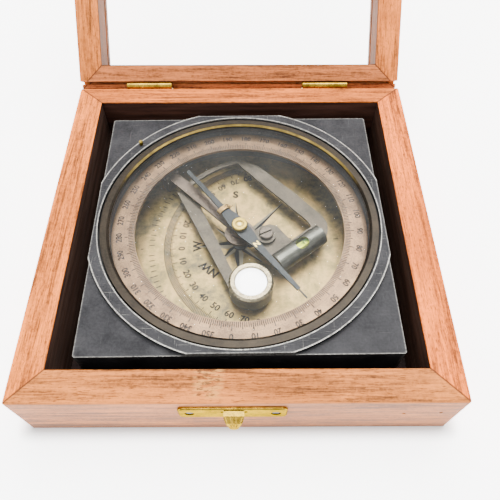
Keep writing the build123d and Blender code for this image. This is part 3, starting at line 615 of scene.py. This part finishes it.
# the degree circle: figures every ten degrees, counted counter-clockwise from the front
ring = Marks("ring_ticks", "degree_circle", RING_INK, RING_TOP, slot="ring_copper")
for k in range(360):
    end, wide = (42.7, 0.38) if k % 10 == 0 else (42.1, 0.36) if k % 5 == 0 else (41.4, 0.35)
    ring.tick(CENTRE, RING_ZERO + radians(k), 39.35, end, wide)
ring.make()
figures = Marks("ring_figures", "degree_circle", RING_INK, RING_TOP, slot="ring_copper")
for k in range(0, 360, 10):
    a = RING_ZERO + radians(k)
    figures.text(str(k), *at(CENTRE, a, 44.8), a, 2.35, 0.92, 0.035)
figures.make()

# the clinometer scale on the dial, struck about the clinometer's pivot
scale = Marks("dial_ticks", "compass", INK, DIAL_TOP, slot="dial_brass")
hatch = Marks("dial_hatching", "compass", HATCH_INK, DIAL_TOP, slot="dial_brass")
SCALE = CENTRE + Vector((11.3, 0.3, 0)) * MM
LEVEL_LINE = pi + radians(3.96)


def in_dial(angle, r, limit=46.4):
    x, y = at(SCALE, angle, r)
    return sqrt((x - CENTRE.x) ** 2 + (y - CENTRE.y) ** 2) < limit * MM


for k in range(-90, 91):
    a = LEVEL_LINE + radians(k)
    if in_dial(a, 38.5):
        start, wide = (36.6, 0.32) if k % 10 == 0 else (37.2, 0.32) if k % 5 == 0 else (37.8, 0.22)
        scale.tick(SCALE, a, start, 38.5, wide)
    if in_dial(a + radians(1.6), 41.1) and in_dial(a, 41.1):
        hatch.slant(SCALE, a, 38.8, a + radians(1.6), 41.0, 0.40)
for i in range(-85, 86):
    a, b = LEVEL_LINE + radians(i), LEVEL_LINE + radians(i + 1)
    if in_dial(b, 41.2) and in_dial(a, 41.2):
        for r in (38.5, 41.0):
            p = [at(SCALE, a, r), at(SCALE, a, r + 0.22), at(SCALE, b, r + 0.22), at(SCALE, b, r)]
            scale.plate(p)
for k in range(-45, 46, 3):
    a = LEVEL_LINE + radians(k)
    if in_dial(a, 47.0) and k:
        scale.tick(SCALE, a, 44.9, 47.0 if k % 15 else 47.8, 0.36)
scale.tick(CENTRE, radians(183.4), 37.9, 38.9, 0.35)
scale.tick(CENTRE, radians(3.5), 36.9, 38.9, 0.35)
scale.make()
hatch.make()

letters = Marks("dial_figures", "compass", INK, DIAL_TOP, slot="dial_brass")
for k in range(-80, 81, 10):
    a = LEVEL_LINE + radians(k)
    letters.text(str(abs(k)), *at(SCALE, a, 34.25), a + pi, 2.7, 1.0, 0.030)
letters.text("S", CENTRE.x - 2.0 * MM, CENTRE.y + 24.9 * MM, radians(93.5), 3.6, 1.05, 0.040)
letters.text("W", CENTRE.x - 16.8 * MM, CENTRE.y - 0.9 * MM, radians(183.5), 3.5, 1.0, 0.040)
letters.text("NW", CENTRE.x - 12.0 * MM, CENTRE.y - 11.6 * MM, radians(228.5), 3.5, 1.0, 0.040)
letters.text("E", CENTRE.x + 18.4 * MM, CENTRE.y + 1.6 * MM, radians(3.5), 3.6, 1.0, 0.040)
letters.make()

# the rose: eight rays, each half dark and half light
HUB = Vector((CENTRE.x - 0.7 * MM, CENTRE.y - 0.2 * MM, 0))
dark = Marks("rose_dark", "compass", ROSE_DARK, DIAL_TOP, slot="dial_brass")
light = Marks("rose_light", "compass", ROSE_LIGHT, DIAL_TOP, slot="dial_brass")
for i in range(8):
    a = radians(90 + 3.5 + 45 * i)
    reach = 21.5 if i == 0 else 28.5 if i == 7 else 20.0 if i == 4 else 17.0 if i % 2 == 0 else 13.0
    inner, half = (6.8, 14) if i == 7 else (4.6, 23) if i % 2 == 0 else (3.7, 20)
    tip, mid = at(HUB, a, reach), at(HUB, a, 0.4)
    left, right = at(HUB, a + radians(half), inner), at(HUB, a - radians(half), inner)
    dark.plate([mid, right, tip])
    light.plate([mid, tip, left])
dark.make()
light.make()

# the inlaid north mark on the needle
north = Marks("needle_north_mark", "needle_card", GOLD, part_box("needle")[1].z, 0.02, slot="bright_brass")
north.text("N", *at(CENTRE, NEEDLE_ANGLE, 10.3), NEEDLE_ANGLE, 2.1, 1.05, 0.03)
north.make()


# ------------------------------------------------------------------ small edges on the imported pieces
def ease(width, *names):
    for name in names:
        b = NODES[name].modifiers.new("edge", "BEVEL")
        b.width = width * MM
        b.segments = 2
        b.limit_method = "ANGLE"
        b.angle_limit = radians(40)
        b.harden_normals = False


ease(0.12, "clinometer_frame", "lifter_lever", "pivot_boss", "level_tube", "round_level_cup",
     "lifter_bracket")
ease(0.10, "needle")
ease(0.12, "hasp_loop", "hasp_plate", "latch_plate")
ease(0.22, "case_front", "case_back", "case_left", "case_right",
     "lid_front", "lid_back", "lid_left", "lid_right")

# ------------------------------------------------------------------ stage
floor = bpy.data.meshes.new("floor")
fb = bmesh.new()
bmesh.ops.create_grid(fb, x_segments=2, y_segments=2, size=20)
fb.to_mesh(floor)
fb.free()
floor_obj = bpy.data.objects.new("floor", floor)
floor_obj.location = (0, 0, -0.0001)
bpy.context.scene.collection.objects.link(floor_obj)
ground = Mat("floor_pale")


def past_case(axis, half):
    """How far outside the case's plan a point of the floor lies, along one axis."""
    away = ground.math("SUBTRACT", ground.math("ABSOLUTE", ground.axis(axis)), half)
    return ground.math("MAXIMUM", away, 0.0)


gap_x, gap_y = past_case("X", CASE_HALF[0]), past_case("Y", CASE_HALF[1])
gap = ground.math("ADD", ground.math("MULTIPLY", gap_x, gap_x), ground.math("MULTIPLY", gap_y, gap_y))
gap = ground.math("SQRT", gap)
# the floor glows evenly, but its glow fades to nothing within 6 mm of the case: a painted contact shadow
ground.set(color=(0.93, 0.93, 0.93), rough=0.9, spec=0.1, emit_color=(1.0, 1.0, 1.0),
           emit=ground.math("MULTIPLY", ground.step(gap, 0.0, 6.0), 4.5))
floor.materials.append(ground.mat)

world = bpy.data.worlds.new("studio")
bpy.context.scene.world = world
world.use_nodes = True
sky = world.node_tree
sky_tex = sky.nodes.new("ShaderNodeTexCoord")
sky_noise = sky.nodes.new("ShaderNodeTexNoise")
sky_noise.inputs["Scale"].default_value = 1.6
sky_noise.inputs["Detail"].default_value = 1.5
sky_ramp = sky.nodes.new("ShaderNodeValToRGB")
for stop, (place, value) in zip(sky_ramp.color_ramp.elements, ((0.40, 0.30), (0.58, 1.0))):
    stop.position, stop.color = place, (value, value, value, 1)
sky.links.new(sky_tex.outputs["Generated"], sky_noise.inputs["Vector"])
sky.links.new(sky_noise.outputs["Fac"], sky_ramp.inputs[0])
sky_split = sky.nodes.new("ShaderNodeSeparateXYZ")
sky.links.new(sky_tex.outputs["Generated"], sky_split.inputs[0])
sky_low = sky.nodes.new("ShaderNodeMapRange")
sky_low.interpolation_type = "SMOOTHSTEP"
sky_low.inputs["From Min"].default_value, sky_low.inputs["From Max"].default_value = 0.55, 0.25
sky.links.new(sky_split.outputs["Z"], sky_low.inputs["Value"])
sky_mix = sky.nodes.new("ShaderNodeMix")
sky_mix.data_type = "RGBA"
sky.links.new(sky_low.outputs[0], sky_mix.inputs[0])
sky.links.new(sky_ramp.outputs[0], sky_mix.inputs[6])
sky_mix.inputs[7].default_value = (1, 1, 1, 1)
sky.links.new(sky_mix.outputs[2], sky.nodes["Background"].inputs[0])
sky.nodes["Background"].inputs[1].default_value = 1.9


def area(name, place, target, size, power, colour=(1, 1, 1)):
    data = bpy.data.lights.new(name, "AREA")
    data.shape = "RECTANGLE"
    data.size, data.size_y = size
    data.energy = power
    data.color = colour
    obj = bpy.data.objects.new(name, data)
    obj.location = place
    obj.rotation_mode = "QUATERNION"
    obj.rotation_quaternion = (Vector(target) - Vector(place)).to_track_quat("-Z", "Y")
    bpy.context.scene.collection.objects.link(obj)


area("key", (0.07, 0.30, 0.85), (0, 0, 0), (0.7, 0.7), 26, (1.0, 0.985, 0.96))
area("fill", (-0.6, -0.7, 0.8), (0, 0, 0), (0.9, 0.9), 8, (0.97, 0.985, 1.0))

camera = bpy.data.cameras.new("camera")
camera.sensor_width = SENSOR
camera.lens = LENS_OVER_WIDTH * SENSOR
camera.clip_start, camera.clip_end = 0.01, 20
cam = bpy.data.objects.new("camera", camera)
cam.location = (0.0036, -0.11355, 0.17806)
cam.rotation_euler = (radians(90 - 57.06), 0, radians(-0.24))
bpy.context.scene.collection.objects.link(cam)
bpy.context.scene.camera = cam
